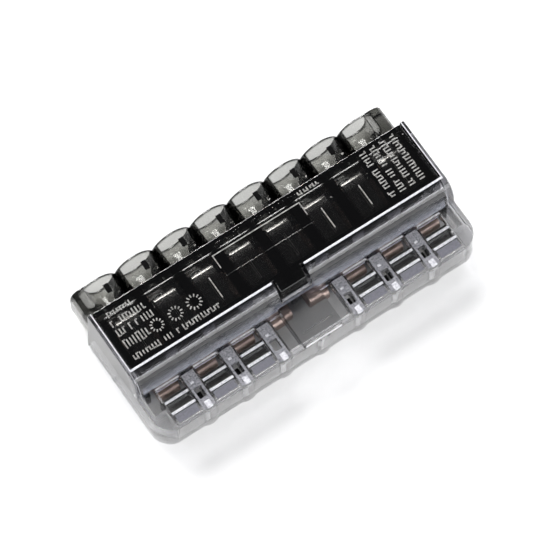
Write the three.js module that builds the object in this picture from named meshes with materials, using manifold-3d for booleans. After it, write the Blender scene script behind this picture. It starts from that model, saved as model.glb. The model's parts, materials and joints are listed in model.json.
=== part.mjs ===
// A push-in wire connector: one row of eight ways that joins eight solid conductors.
// A smoked entry housing slides into a clear end cover. Between them lie one copper
// contact bar and, in every way, a spring whose leaf presses the conductor onto the bar.
// Millimetres. +X runs along the row, conductors enter from +Y, and +Z is up.

import * as THREE from 'three';
import { mergeVertices } from 'three/addons/utils/BufferGeometryUtils.js';
import Module from 'manifold-3d';

const wasm = await Module();
wasm.setup();

// ---- Driving dimensions ----

const WAYS = 8;
const PITCH = 4.2; // from one conductor to the next
const LENGTH = 36.1; // over both end cheeks, at the foot
const DEPTH = 16.75; // from the front wall to the mouths of the barrels
const HEIGHT = 7.0;
const GAP = 0.3; // left between two pieces that touch on the real object
const JOIN = 0.05; // how far two shapes of one piece run into each other
const WALL = 0.6; // the usual moulded wall
const FAR = 40; // longer than the whole connector, for cutting tools

const FRONT_Y = -DEPTH / 2;
const BACK_Y = DEPTH / 2;

// Barrels, one for each conductor
const BARREL_R = 2.28;
const BARREL_AXIS_Z = BARREL_R;
const BARREL_FRONT_Y = 5.1;
const MOUTH_R = 1.88; // takes the insulation
const THROAT_R = 1.15; // takes the bare conductor
const MOUTH_DEPTH = 1.7;
const FUNNEL_DEPTH = 1.5;
const ROW_HALF = 17.6; // half the width of the row of barrels
const ROW_CORNER = 1.2; // rounding of its two outer sides

// Panel on top of the entry housing
const PANEL_HALF = 17.05;
const PANEL_TOP = 6.85;
const PANEL_FLOOR = 6.05;
const PANEL_FRONT_Y = -1.62;
const PANEL_BACK_Y = 4.73;
const LABEL_HALF = 4.9; // raised label field, which rises to the full height
const LABEL_FRONT_Y = 0.92;
const LABEL_BACK_Y = 3.34;
const WEB_FRONT_Y = 4.0; // the wall that the throats go through
const WEB_FOOT_Z = 0.95;
const PARTITION_FOOT_Z = 1.65;
const BEAM_HALF = 15.9; // the beam under the terrace that conductors can't pass
const BEAM_BACK_Y = -4.8;
const BEAM_FRONT_Y = -6.9;
const BEAM_FOOT_Z = 0.95;

// Clear end cover
const COVER_BACK_Y = 4.8;
const COVER_TOP_HALF = 17.75;
const COVER_INNER_HALF = 17.35;
const COVER_FLOOR = 0.65;
const FRONT_WALL_Y = -8.2; // the small bulges on it reach FRONT_Y
const CORNER_CUT = 2.1; // rounding of the front corners, seen from above
const TERRACE_TOP = 3.8;
const TERRACE_FLOOR = 3.2;
const LIP_TOP_Y = -1.92;
const LIP_RIM = 0.28;
const LIP_FOOT_Y = -3.72;
const LIP_INNER_FOOT_Y = -3.2;
const BULGE_R = 1.6;

// Test windows and pockets, which go through the terrace
const WINDOW_WIDTH = 2.5;
const WINDOW_BACK_Y = -3.96;
const WINDOW_FRONT_Y = -5.29;
const RECESS_BACK_Y = -5.75;
const RECESS_FRONT_Y = -6.5;
const POCKET_WIDTH = 0.8;
const POCKET_BACK_Y = -5.7;
const POCKET_FRONT_Y = -6.9;
const RIB_WIDTH = 0.8;
const RIB_BACK_Y = -7.2;

// Catch in the middle, which holds the two mouldings together
const CATCH_HALF = 2.2; // raised block over the two middle ways
const CATCH_TOP = 4.5;
const SLOT_OUTER = 3.36; // the narrow windows left beside the block
const SLOT_FRONT_Y = -7.5;
const NOTCH_HALF = 1.75; // cut through the lip
const NOTCH_FOOT_Z = 4.9;
const TONGUE_HALF = NOTCH_HALF - GAP;
const TONGUE_FRONT_Y = -2.6;
const TONGUE_FOOT_Z = 5.3;

// Copper contact bar
const BAR_THICK = 0.4;
const BAR_HALF = 16.1;
const BAR_FOOT_Z = COVER_FLOOR + GAP;
const BAR_TOP_Z = BAR_FOOT_Z + BAR_THICK;
const BAR_FRONT_Y = -4.45;
const BAR_BACK_Y = 3.4;
const TAB_HALF = 1.1;
const TAB_TOP_Z = TERRACE_FLOOR - GAP;
const TAB_BACK_Y = -3.75;

// Springs
const SPRING_THICK = 0.3;
const SPRING_HALF = 1.2;
const BEND_Y = 2.6; // centre of the bend, which is where the leaf turns
const BEND_Z = 5.05;
const BEND_R = 0.55; // at the middle of the strip
const LEG_FRONT_Y = -1.2;
const LEG_END_TURN = -15; // degrees, where the bend passes to the leaf
const LEAF_SLOPE = 38; // degrees below level, at rest
const LEAF_LENGTH = 4.58;
const ARC_STEPS = 12;

// ---- Solids ----

// A closed geometry as a solid that can be cut and joined.
function solid(geometry) {
  const bare = geometry.clone();
  bare.deleteAttribute('normal');
  bare.deleteAttribute('uv');
  const merged = mergeVertices(bare, 1e-4);
  return new wasm.Manifold(new wasm.Mesh({
    numProp: 3,
    vertProperties: merged.attributes.position.array,
    triVerts: new Uint32Array(merged.index.array),
  }));
}

function box(x0, x1, y0, y1, z0, z1) {
  const geometry = new THREE.BoxGeometry(x1 - x0, y1 - y0, z1 - z0);
  geometry.translate((x0 + x1) / 2, (y0 + y1) / 2, (z0 + z1) / 2);
  return solid(geometry);
}

// An outline extruded from `start` to `end` along `along`, its own axes laid on `across` and `up`.
function prism(shape, start, end, across, up, along) {
  const geometry = new THREE.ExtrudeGeometry(shape, {
    depth: end - start,
    bevelEnabled: false,
    curveSegments: ARC_STEPS,
  });
  geometry.translate(0, 0, start);
  geometry.applyMatrix4(new THREE.Matrix4().makeBasis(across, up, along));
  return solid(geometry);
}

const X = new THREE.Vector3(1, 0, 0);
const Y = new THREE.Vector3(0, 1, 0);
const Z = new THREE.Vector3(0, 0, 1);

// A side view, with points (y, z), extruded along the row.
function prismAlongRow(shape, x0, x1) {
  return prism(shape, x0, x1, Y, Z, X);
}

// A view from the front, with points (z, x), extruded front to back.
function prismFrontToBack(shape, y0, y1) {
  return prism(shape, y0, y1, Z, X, Y);
}

function outline(points) {
  return new THREE.Shape(points.map(([a, b]) => new THREE.Vector2(a, b)));
}

// A turned shape about a line that runs front to back at (x, z), from radii given at y.
function turned(x, z, radiiAtY) {
  const first = radiiAtY[0][1];
  const last = radiiAtY[radiiAtY.length - 1][1];
  const profile = [[0, first], ...radiiAtY, [0, last]];
  const points = profile.map(([r, y]) => new THREE.Vector2(r, y));
  const geometry = new THREE.LatheGeometry(points, 4 * ARC_STEPS);
  geometry.translate(x, 0, z); // a lathe already turns about +Y
  return solid(geometry);
}

function joined(solids) {
  return solids.reduce((whole, next) => whole.add(next));
}

function part(name, shape, { color, roughness, metalness = 0, opacity = 1 }) {
  const mesh = shape.getMesh();
  const geometry = new THREE.BufferGeometry();
  geometry.setAttribute('position', new THREE.BufferAttribute(mesh.vertProperties, 3));
  geometry.setIndex(new THREE.BufferAttribute(mesh.triVerts, 1));
  geometry.computeVertexNormals();
  const material = new THREE.MeshStandardMaterial({
    color, roughness, metalness, opacity, transparent: opacity < 1, flatShading: true,
  });
  const made = new THREE.Mesh(geometry, material);
  made.name = name;
  return made;
}

// ---- Where the ways lie ----

const wayCentres = Array.from({ length: WAYS }, (_, i) => (i - (WAYS - 1) / 2) * PITCH);
const wayBounds = wayCentres.slice(1).map((x) => x - PITCH / 2);
// The catch block takes the middle of the terrace, so the two ways beside it have slots.
const windowCentres = wayCentres.filter((x) => Math.abs(x) > PITCH);

// ---- Entry housing: barrels, panel, partitions and the catch tongue ----

function barrels() {
  const tubes = wayCentres.map((x) => turned(x, BARREL_AXIS_Z, [
    [BARREL_R, BARREL_FRONT_Y],
    [BARREL_R, BACK_Y],
  ]));
  return joined([...tubes, rowEnd(-1), rowEnd(1)]);
}

// The outermost barrels have upright outer sides with rounded corners.
function rowEnd(side) {
  const innerX = side * wayCentres[WAYS - 1];
  const outerX = side * ROW_HALF;
  const cornerX = outerX - side * ROW_CORNER;
  const top = 2 * BARREL_R;
  const shape = new THREE.Shape();
  shape.moveTo(0, innerX);
  shape.lineTo(0, cornerX);
  shape.quadraticCurveTo(0, outerX, ROW_CORNER, outerX);
  shape.lineTo(top - ROW_CORNER, outerX);
  shape.quadraticCurveTo(top, outerX, top, cornerX);
  shape.lineTo(top, innerX);
  return prismFrontToBack(shape, BARREL_FRONT_Y, BACK_Y);
}

// What a conductor passes through: mouth, funnel and throat.
function wireWay(x) {
  const mouthEnd = BACK_Y - MOUTH_DEPTH;
  return turned(x, BARREL_AXIS_Z, [
    [THROAT_R, WEB_FRONT_Y - GAP],
    [THROAT_R, mouthEnd - FUNNEL_DEPTH],
    [MOUTH_R, mouthEnd],
    [MOUTH_R, BACK_Y + GAP],
  ]);
}

// A wall beside a way. Its foot runs forward under the terrace as far as reachY.
function partition(x0, x1, footZ, reachY) {
  const side = outline([
    [WEB_FRONT_Y + JOIN, footZ],
    [WEB_FRONT_Y + JOIN, PANEL_FLOOR + JOIN],
    [PANEL_FRONT_Y, PANEL_FLOOR + JOIN],
    [LIP_INNER_FOOT_Y + GAP, TERRACE_FLOOR],
    [LIP_INNER_FOOT_Y + GAP, TERRACE_FLOOR - GAP],
    [reachY, TERRACE_FLOOR - GAP],
    [reachY, footZ],
  ]);
  return prismAlongRow(side, x0, x1);
}

function entryHousing() {
  const half = WALL / 2;
  const toBeam = BEAM_BACK_Y - JOIN;
  const inner = wayBounds.map((x) => partition(x - half, x + half, PARTITION_FOOT_Z, toBeam));
  const endReach = LIP_INNER_FOOT_Y - WALL;
  const ends = [
    partition(-PANEL_HALF, WALL - PANEL_HALF, WEB_FOOT_Z, endReach),
    partition(PANEL_HALF - WALL, PANEL_HALF, WEB_FOOT_Z, endReach),
  ];
  const beam = box(-BEAM_HALF, BEAM_HALF, BEAM_FRONT_Y, BEAM_BACK_Y, BEAM_FOOT_Z, TERRACE_FLOOR - GAP);
  const panel = box(-PANEL_HALF, PANEL_HALF, PANEL_FRONT_Y, PANEL_BACK_Y, PANEL_FLOOR, PANEL_TOP);
  const label = box(-LABEL_HALF, LABEL_HALF, LABEL_FRONT_Y, LABEL_BACK_Y, PANEL_TOP - JOIN, HEIGHT);
  const upperWall = box(
    -PANEL_HALF, PANEL_HALF, WEB_FRONT_Y, PANEL_BACK_Y, 2 * BARREL_R - JOIN, PANEL_FLOOR + JOIN,
  );
  const web = box(
    -PANEL_HALF, PANEL_HALF, WEB_FRONT_Y, BARREL_FRONT_Y + JOIN, WEB_FOOT_Z, 2 * BARREL_R - GAP,
  );
  const fillet = box(-PANEL_HALF, PANEL_HALF, WEB_FRONT_Y, PANEL_BACK_Y,
    2 * BARREL_R - GAP - JOIN, 2 * BARREL_R);
  const tongue = box(-TONGUE_HALF, TONGUE_HALF, TONGUE_FRONT_Y, PANEL_FRONT_Y + JOIN,
    TONGUE_FOOT_Z, PANEL_FLOOR + GAP);
  const frame = joined([panel, label, upperWall, fillet, web, tongue, beam, ...inner, ...ends]);
  return frame.add(barrels()).subtract(joined(wayCentres.map(wireWay)));
}

// ---- End cover: tray, cheeks, lip and terrace with its windows ----

function coverOutside() {
  const side = new THREE.Shape();
  side.moveTo(FRONT_WALL_Y, 0);
  side.lineTo(COVER_BACK_Y, 0);
  side.lineTo(COVER_BACK_Y, HEIGHT);
  side.lineTo(LIP_TOP_Y - LIP_RIM, HEIGHT);
  side.quadraticCurveTo(LIP_FOOT_Y + LIP_RIM, HEIGHT - LIP_RIM, LIP_FOOT_Y, TERRACE_TOP);
  side.lineTo(FRONT_WALL_Y, TERRACE_TOP);
  const body = prismAlongRow(side, -LENGTH / 2, LENGTH / 2);

  const frontView = outline([
    [0, -LENGTH / 2],
    [0, LENGTH / 2],
    [HEIGHT, COVER_TOP_HALF],
    [HEIGHT, -COVER_TOP_HALF],
  ]);
  const taper = prismFrontToBack(frontView, FRONT_WALL_Y, COVER_BACK_Y);

  const plan = new THREE.Shape();
  plan.moveTo(LENGTH / 2, FAR);
  plan.lineTo(-LENGTH / 2, FAR);
  plan.lineTo(-LENGTH / 2, FRONT_WALL_Y + CORNER_CUT);
  plan.quadraticCurveTo(-LENGTH / 2, FRONT_WALL_Y, CORNER_CUT - LENGTH / 2, FRONT_WALL_Y);
  plan.lineTo(LENGTH / 2 - CORNER_CUT, FRONT_WALL_Y);
  plan.quadraticCurveTo(LENGTH / 2, FRONT_WALL_Y, LENGTH / 2, FRONT_WALL_Y + CORNER_CUT);
  const corners = prism(plan, 0, HEIGHT, X, Y, Z);
  return body.intersect(taper).intersect(corners);
}

// Small upright bulges on the front wall, one between each two ways.
function bulge(x) {
  const geometry = new THREE.CylinderGeometry(BULGE_R, BULGE_R, TERRACE_TOP, 4 * ARC_STEPS);
  geometry.rotateX(Math.PI / 2);
  geometry.translate(x, FRONT_Y + BULGE_R, TERRACE_TOP / 2);
  const nearWall = box(x - PITCH, x + PITCH, FRONT_Y, FRONT_WALL_Y + WALL, 0, TERRACE_TOP);
  return solid(geometry).intersect(nearWall);
}

function coverHollow() {
  const side = outline([
    [FRONT_WALL_Y + WALL, COVER_FLOOR],
    [FAR, COVER_FLOOR],
    [FAR, FAR],
    [LIP_TOP_Y, FAR],
    [LIP_TOP_Y, PANEL_FLOOR],
    [LIP_INNER_FOOT_Y, TERRACE_FLOOR],
    [FRONT_WALL_Y + WALL, TERRACE_FLOOR],
  ]);
  const inside = prismAlongRow(side, -COVER_INNER_HALF, COVER_INNER_HALF);
  const narrowed = COVER_INNER_HALF - CORNER_CUT / 2;
  const corner = [-1, 1].map((s) => box(
    Math.min(s * narrowed, s * FAR), Math.max(s * narrowed, s * FAR),
    -FAR, FRONT_WALL_Y + CORNER_CUT, 0, FAR,
  ));
  return inside.subtract(joined(corner));
}

function rib(x) {
  const half = RIB_WIDTH / 2;
  return box(x - half, x + half, FRONT_WALL_Y + WALL - JOIN, RIB_BACK_Y,
    COVER_FLOOR - JOIN, TERRACE_FLOOR + JOIN);
}

// A rectangular hole through the terrace.
function terraceHole(x0, x1, y0, y1) {
  return box(x0, x1, y0, y1, TERRACE_FLOOR - GAP, TERRACE_TOP + GAP);
}

function testWindow(x) {
  const half = WINDOW_WIDTH / 2;
  const window = terraceHole(x - half, x + half, WINDOW_FRONT_Y, WINDOW_BACK_Y);
  return window.add(terraceHole(x - half, x + half, RECESS_FRONT_Y, RECESS_BACK_Y));
}

function ribPocket(x) {
  return terraceHole(x - POCKET_WIDTH / 2, x + POCKET_WIDTH / 2, POCKET_FRONT_Y, POCKET_BACK_Y);
}

function middleSlot(side) {
  const inner = side * CATCH_HALF;
  const outer = side * SLOT_OUTER;
  return terraceHole(Math.min(inner, outer), Math.max(inner, outer), SLOT_FRONT_Y, WINDOW_BACK_Y);
}

function endCover() {
  const catchBlock = box(-CATCH_HALF, CATCH_HALF, FRONT_WALL_Y, LIP_FOOT_Y + GAP,
    TERRACE_FLOOR, CATCH_TOP);
  const notch = box(-NOTCH_HALF, NOTCH_HALF, LIP_FOOT_Y, PANEL_FRONT_Y, NOTCH_FOOT_Z, FAR);
  const outerBounds = wayBounds.filter((x) => Math.abs(x) > PITCH / 2);
  const tray = coverOutside().add(joined(wayBounds.map(bulge))).subtract(coverHollow());
  const shell = joined([tray, catchBlock, ...outerBounds.map(rib)]);
  const cuts = [
    notch,
    middleSlot(-1),
    middleSlot(1),
    ...windowCentres.map(testWindow),
    ...outerBounds.map(ribPocket),
  ];
  return shell.subtract(joined(cuts));
}

// ---- Contact bar: one plate under every way, with a bent tab behind every window ----

function contactBar() {
  const plate = box(-BAR_HALF, BAR_HALF, BAR_FRONT_Y, BAR_BACK_Y, BAR_FOOT_Z, BAR_TOP_Z);
  const side = outline([
    [BAR_FRONT_Y, BAR_TOP_Z - JOIN],
    [BAR_FRONT_Y + BAR_THICK, BAR_TOP_Z - JOIN],
    [BAR_FRONT_Y + BAR_THICK, TAB_TOP_Z - BAR_THICK],
    [TAB_BACK_Y, TAB_TOP_Z - BAR_THICK],
    [TAB_BACK_Y, TAB_TOP_Z],
    [BAR_FRONT_Y, TAB_TOP_Z],
  ]);
  const tabs = wayCentres.map((x) => prismAlongRow(side, x - TAB_HALF, x + TAB_HALF));
  return joined([plate, ...tabs]);
}

// ---- Springs: the leg and bend stay put, the leaf turns about the bend ----

function polar(radius, degrees) {
  const turn = THREE.MathUtils.degToRad(degrees);
  return [BEND_Y + radius * Math.cos(turn), BEND_Z + radius * Math.sin(turn)];
}

function springBase(x) {
  const outer = BEND_R + SPRING_THICK / 2;
  const inner = BEND_R - SPRING_THICK / 2;
  const step = (LEG_END_TURN - 90) / ARC_STEPS;
  const turns = Array.from({ length: ARC_STEPS + 1 }, (_, i) => 90 + step * i);
  const side = outline([
    [LEG_FRONT_Y, BEND_Z + inner],
    ...turns.map((turn) => polar(inner, turn)),
    ...turns.map((turn) => polar(outer, turn)).reverse(),
    [LEG_FRONT_Y, BEND_Z + outer],
  ]);
  return prismAlongRow(side, x - SPRING_HALF, x + SPRING_HALF);
}

function clampLeaf(x) {
  const slope = THREE.MathUtils.degToRad(LEAF_SLOPE);
  const along = [-Math.cos(slope), -Math.sin(slope)];
  const upward = [-Math.sin(slope), Math.cos(slope)];
  const start = polar(BEND_R, LEAF_SLOPE - 90);
  const half = SPRING_THICK / 2;
  const at = (run, rise) => [
    start[0] + along[0] * run + upward[0] * rise,
    start[1] + along[1] * run + upward[1] * rise,
  ];
  const side = outline([at(0, -half), at(0, half), at(LEAF_LENGTH, half), at(LEAF_LENGTH, -half)]);
  return prismAlongRow(side, x - SPRING_HALF, x + SPRING_HALF);
}

// ---- The assembly ----

const SMOKED = { color: 0x2b2b28, roughness: 0.15, opacity: 0.75 };
const CLEAR = { color: 0xd4d6dc, roughness: 0.1, opacity: 0.4 };
const COPPER = { color: 0xa8776a, roughness: 0.35, metalness: 1 };
const STEEL = { color: 0xa9a49c, roughness: 0.3, metalness: 1 };

const connector = new THREE.Group();
connector.add(part('entry_housing', entryHousing(), SMOKED));
connector.add(part('end_cover', endCover(), CLEAR));
connector.add(part('contact_bar', contactBar(), COPPER));
wayCentres.forEach((x, i) => {
  connector.add(part(`spring_base_${i + 1}`, springBase(x), STEEL));
  connector.add(part(`clamp_leaf_${i + 1}`, clampLeaf(x), STEEL));
});

export default connector;
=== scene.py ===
# %% [markdown]
# # A push-in wire connector in Blender
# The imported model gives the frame: where every piece is, how big it is and which pieces turn. This script puts
# finished surfaces around that frame. The connector is two clear mouldings, one smoked and one water-clear,
# and through them shows one copper bar and a row of clamp springs. Every length below is in millimetres,
# and a mesh is turned to metres when its piece is finished.

# %% Load the frame
import json

import bmesh
import bpy
import mathutils
import numpy as np
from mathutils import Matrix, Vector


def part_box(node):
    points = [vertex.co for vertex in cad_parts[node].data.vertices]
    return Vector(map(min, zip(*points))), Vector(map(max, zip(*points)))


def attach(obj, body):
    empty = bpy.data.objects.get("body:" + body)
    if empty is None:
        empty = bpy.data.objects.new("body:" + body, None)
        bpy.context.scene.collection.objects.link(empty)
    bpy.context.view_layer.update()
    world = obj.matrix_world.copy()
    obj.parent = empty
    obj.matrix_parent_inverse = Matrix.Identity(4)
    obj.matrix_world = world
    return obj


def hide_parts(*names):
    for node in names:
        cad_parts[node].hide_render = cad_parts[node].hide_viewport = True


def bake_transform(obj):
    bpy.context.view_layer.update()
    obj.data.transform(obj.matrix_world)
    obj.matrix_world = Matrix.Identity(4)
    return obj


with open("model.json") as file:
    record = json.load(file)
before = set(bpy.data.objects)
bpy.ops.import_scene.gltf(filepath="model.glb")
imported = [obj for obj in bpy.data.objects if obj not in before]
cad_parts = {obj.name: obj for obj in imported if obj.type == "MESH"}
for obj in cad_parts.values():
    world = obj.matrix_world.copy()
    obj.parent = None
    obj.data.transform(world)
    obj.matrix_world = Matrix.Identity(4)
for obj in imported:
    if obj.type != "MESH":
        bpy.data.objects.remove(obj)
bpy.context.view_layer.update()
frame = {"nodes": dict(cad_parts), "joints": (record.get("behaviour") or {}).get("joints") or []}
MM = 0.001


def node_box(node):
    """Lowest and highest corner of a CAD node, in millimetres."""
    low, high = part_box(node)
    return np.array(low) / MM, np.array(high) / MM


_, housing_high = node_box("entry_housing")
cover_low, cover_high = node_box("end_cover")
bar_low, bar_high = node_box("contact_bar")
springs = sorted(n for n in frame["nodes"] if n.startswith("spring_base_"))
way_x = np.array([np.mean([c[0] for c in node_box(n)]) for n in springs])
pitch = float(np.diff(way_x).mean())
bound_x = way_x[1:] - pitch / 2
print(f"{len(way_x)} ways at a pitch of {pitch:.2f} mm, cover {cover_high - cover_low} mm")

# %% [markdown]
# ## Surfaces
# All the shapes here are rings of points: a side view carried along the row, or a profile turned about a line.
# The rings are one array, and the faces between them follow from its shape alone. The same mesh could be drawn
# by hand in edit mode, but then no size could be changed afterwards.

# %% Closed rings
ARC = 5  # points on a softened corner
ROUND = 72  # points round a barrel


def closed(grid):
    """Rings of points, shaped (rings, points, 3): each point is joined to the next one round its ring and to
    the same point of the next ring, and the two outer rings are closed by a flat face each. The faces point
    outwards when the volume summed over them, centre . (one edge x the next) / 3, is positive."""
    index = np.arange(grid.shape[0] * grid.shape[1]).reshape(grid.shape[:2])
    after = np.roll(index, -1, axis=1)
    quads = np.stack([index[:-1], after[:-1], after[1:], index[1:]], axis=-1).reshape(-1, 4)
    points = grid.reshape(-1, 3)
    a, b, c, d = (points[quads[:, i]] - points.mean(axis=0) for i in range(4))
    volume = np.sum((a + c) * np.cross(c - a, d - b))
    caps = [index[0][::-1], index[-1]]
    if volume < 0:
        quads, caps = quads[:, ::-1], [cap[::-1] for cap in caps]
    return points, quads.tolist() + [cap.tolist() for cap in caps]


# %% [markdown]
# Moulded plastic has no knife edges. A side view has its corners softened before it is carried, and the carried
# shape is drawn in at its two ends along a quarter circle. That softening is what catches the light. A Bevel
# modifier could do it too, but these shapes are cut and joined afterwards, and a bevel doesn't survive that well.

# %% Soft corners


def soften(corners, radius):
    """A closed outline whose every corner is replaced by a parabola that starts and ends radius away from it,
    or as far as half its shorter side: (1-t)^2 A + 2t(1-t) C + t^2 B, with C the corner."""
    corner = np.array(corners, float)
    before, after = np.roll(corner, 1, axis=0) - corner, np.roll(corner, -1, axis=0) - corner
    far = [np.linalg.norm(side, axis=1, keepdims=True) for side in (before, after)]
    reach = np.minimum(np.broadcast_to(np.reshape(radius, (-1, 1)), far[0].shape), np.minimum(*far) * 0.48)
    a, b = corner + before / far[0] * reach, corner + after / far[1] * reach
    t = np.linspace(0, 1, ARC)[None, :, None]
    curve = (1 - t) ** 2 * a[:, None] + 2 * t * (1 - t) * corner[:, None] + t**2 * b[:, None]
    return curve.reshape(-1, 2)


def inset(loop, amount):
    """A closed outline whose every side lies amount further in: each point moves to where its two moved sides
    meet, amount (n1 + n2) / (1 + n1 . n2) away, with n1 and n2 the inward normals of those sides."""
    side = np.roll(loop, -1, axis=0) - loop
    side /= np.linalg.norm(side, axis=1, keepdims=True)
    y, z = loop.T
    turning = np.sign(np.sum(y * np.roll(z, -1) - z * np.roll(y, -1)))
    after = turning * np.stack([-side[:, 1], side[:, 0]], axis=1)
    before = np.roll(after, 1, axis=0)
    return loop + amount * (before + after) / (1 + np.sum(before * after, axis=1, keepdims=True))


# %% [markdown]
# There are three ways to make the rings: carry an outline along a line, turn a profile about a line, or give
# a bent line the thickness of sheet metal and carry that.

# %% Carried, turned and bent shapes


def carried(corners, radius, start, end, edge=0.1, axes=(1, 2, 0)):
    """An outline with softened corners carried from start to end. Near both ends its sections are inset along a
    quarter circle of radius edge. axes says which of X, Y and Z the outline's two directions and the way along
    are. A radius of None leaves the outline's own points as they are."""
    outline = np.array(corners, float)
    turn = np.linspace(0, np.pi / 2, ARC)
    drawn, run = edge * (1 - np.sin(turn)), edge * (1 - np.cos(turn))
    along = np.concatenate([start + run, end - run[::-1]])
    amounts = (*drawn, *drawn[::-1])
    sections = [inset(outline, amount) for amount in amounts]
    if radius is not None:
        least = edge * 0.05
        sections = [soften(section, np.maximum(np.array(radius, float) - amount, least))
                    for section, amount in zip(sections, amounts)]
    grid = np.empty((len(along), len(sections[0]), 3))
    grid[..., axes[:2]] = np.stack(sections)
    grid[..., axes[2]] = along[:, None]
    return closed(grid)


def block(low, high, edge=0.1):
    """A box with all its edges and corners softened: a softened rectangle carried along X."""
    (x0, y0, z0), (x1, y1, z1) = low, high
    return carried([(y0, z0), (y1, z0), (y1, z1), (y0, z1)], edge, x0, x1, edge)


def row_of(places, across, deep, tall, edge):
    """The same block at every x of places. across holds its two sides measured from x, and deep and tall hold
    its ends along Y and Z."""
    return [block((x + across[0], deep[0], tall[0]), (x + across[1], deep[1], tall[1]), edge) for x in places]


def turned(profile, a, b, axes=(0, 2, 1)):
    """A profile of (radius, place along) turned about a line at a, b. axes says which of X, Y and Z those two
    are and which one the line runs along."""
    radius, along = np.array(profile, float).T
    angle = np.linspace(0, 2 * np.pi, ROUND, endpoint=False)
    grid = np.empty((len(radius), ROUND, 3))
    grid[..., axes[0]] = a + radius[:, None] * np.cos(angle)
    grid[..., axes[1]] = b + radius[:, None] * np.sin(angle)
    grid[..., axes[2]] = along[:, None]
    return closed(grid)


def ribbon(path, thickness, x0, x1, edge=0.05):
    """A strip of sheet metal seen from the side: its middle line moved half a thickness to either side along
    its own normals, closed to an outline, and carried across its width."""
    line = np.array(path, float)
    along = np.gradient(line, axis=0)
    along /= np.linalg.norm(along, axis=1, keepdims=True)
    normal = np.stack([-along[:, 1], along[:, 0]], axis=1) * thickness / 2
    return carried(np.concatenate([line + normal, (line - normal)[::-1]]), None, x0, x1, edge)


def together(shapes):
    """Several shapes as one list of points and faces."""
    points, faces, count = [], [], 0
    for some, their_faces in shapes:
        points.append(some)
        faces += [[i + count for i in face] for face in their_faces]
        count += len(some)
    return np.concatenate(points), faces


# %% [markdown]
# A moulding is one solid, so its shapes are joined and cut, not just pushed into each other: where light goes
# through, every hidden inner wall would show. The Boolean modifier's manifold solver does that, as long as each
# shape is closed. It works in millimetres here, because its tolerances suit sizes near one. The shapes that are
# joined or cut in one call must not touch each other, so neighbours go in separate calls.

# %% Joining and cutting


def raw_object(name, shape):
    """A new object from a shape's points and faces, still in millimetres."""
    points, faces = shape
    mesh = bpy.data.meshes.new(name)
    mesh.from_pydata(points.tolist(), [], faces)
    made = bpy.data.objects.new(name, mesh)
    bpy.context.scene.collection.objects.link(made)
    return made


def combine(target, operation, shapes):
    """Joins (UNION) or cuts (DIFFERENCE) shapes into the target's mesh, in one go."""
    tool = raw_object("tool", together(shapes))
    modifier = target.modifiers.new("combine", "BOOLEAN")
    modifier.operation, modifier.solver, modifier.object = operation, "MANIFOLD", tool
    seen = target.evaluated_get(bpy.context.evaluated_depsgraph_get())
    mesh = bpy.data.meshes.new_from_object(seen)
    target.modifiers.clear()
    old, target.data = target.data, mesh
    bpy.data.meshes.remove(old)
    bpy.data.meshes.remove(tool.data)


def join(target, *groups):
    """Joins groups of shapes into the target, one group after the other."""
    for shapes in groups:
        combine(target, "UNION", shapes)


def finished(target, name, material, sharp_degrees=32):
    """The piece in metres under its last name: stray points merged, smooth except along its sharp edges."""
    bm = bmesh.new()
    bm.from_mesh(target.data)
    bmesh.ops.remove_doubles(bm, verts=bm.verts, dist=1e-4)
    bmesh.ops.dissolve_degenerate(bm, edges=bm.edges, dist=1e-4)
    bmesh.ops.scale(bm, vec=(MM, MM, MM), verts=bm.verts)
    bm.to_mesh(target.data)
    bm.free()
    target.name = target.data.name = name
    target.data.polygons.foreach_set("use_smooth", np.ones(len(target.data.polygons), bool))
    target.data.set_sharp_from_angle(angle=np.radians(sharp_degrees))
    target.data.materials.clear()
    target.data.materials.append(material)
    shading = target.modifiers.new("even_shading", "WEIGHTED_NORMAL")
    shading.keep_sharp = True
    print(f"{name}: {len(target.data.polygons)} faces")
    return target


# %% [markdown]
# ## Materials
# Both mouldings are polycarbonate, polished in the tool, so they are smooth and bend light strongly. The
# metals are rolled strip. Colours are written as sRGB hex, as they'd be picked from a colour chart, and
# turned to linear light by one function.

# %% Material helpers


def linear(hex_colour):
    """An sRGB hex colour as linear red, green, blue and a solid alpha."""
    channel = np.array([int(hex_colour[i : i + 2], 16) for i in (1, 3, 5)]) / 255
    value = np.where(channel <= 0.04045, channel / 12.92, ((channel + 0.055) / 1.055) ** 2.4)
    return (*value.tolist(), 1.0)


def add(tree, kind, inputs=None, **settings):
    """One node with its settings. An input is a value, or another node's output socket to link from."""
    node = tree.nodes.new(kind)
    for key, value in settings.items():
        setattr(node, key, value)
    for key, value in (inputs or {}).items():
        if isinstance(value, bpy.types.NodeSocket):
            tree.links.new(value, node.inputs[key])
        else:
            node.inputs[key].default_value = value
    return node


def new_material(name):
    """A material with an empty node tree."""
    material = bpy.data.materials.new(name)
    material.use_nodes = True
    material.node_tree.nodes.clear()
    return material, material.node_tree


def grain(tree, size_mm, stretch=(1, 1, 1), detail=3):
    """Noise over Object coordinates, whose lumps are about size_mm across before stretching."""
    place = add(tree, "ShaderNodeTexCoord").outputs["Object"]
    scale = tuple(1 / (size_mm * MM * s) for s in stretch)
    spread = add(tree, "ShaderNodeMapping", {"Vector": place, "Scale": scale})
    return add(tree, "ShaderNodeTexNoise", {"Vector": spread.outputs[0], "Scale": 1.0, "Detail": detail})


# %% [markdown]
# The plastic's tint is painted with light and shade by place: painted shade where walls cross, between the
# barrels and at the top of the lip, and a paler tint as painted light where it should look pale. That is drawn as
# a tint that depends on the place: on the depth, on how near the point is to a bound between two ways, or on how
# far up the lip it is.

# %% Tints by place


def ramp(tree, value, stops):
    """A colour ramp through (place, hex colour) stops, where place runs from 0 to 1."""
    node = add(tree, "ShaderNodeValToRGB", {"Fac": value})
    elements = node.color_ramp.elements
    while len(elements) < len(stops):
        elements.new(0.5)
    for element, (place, colour) in zip(elements, stops):
        element.position, element.color = place, linear(colour)
    return node.outputs["Color"]


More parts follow.
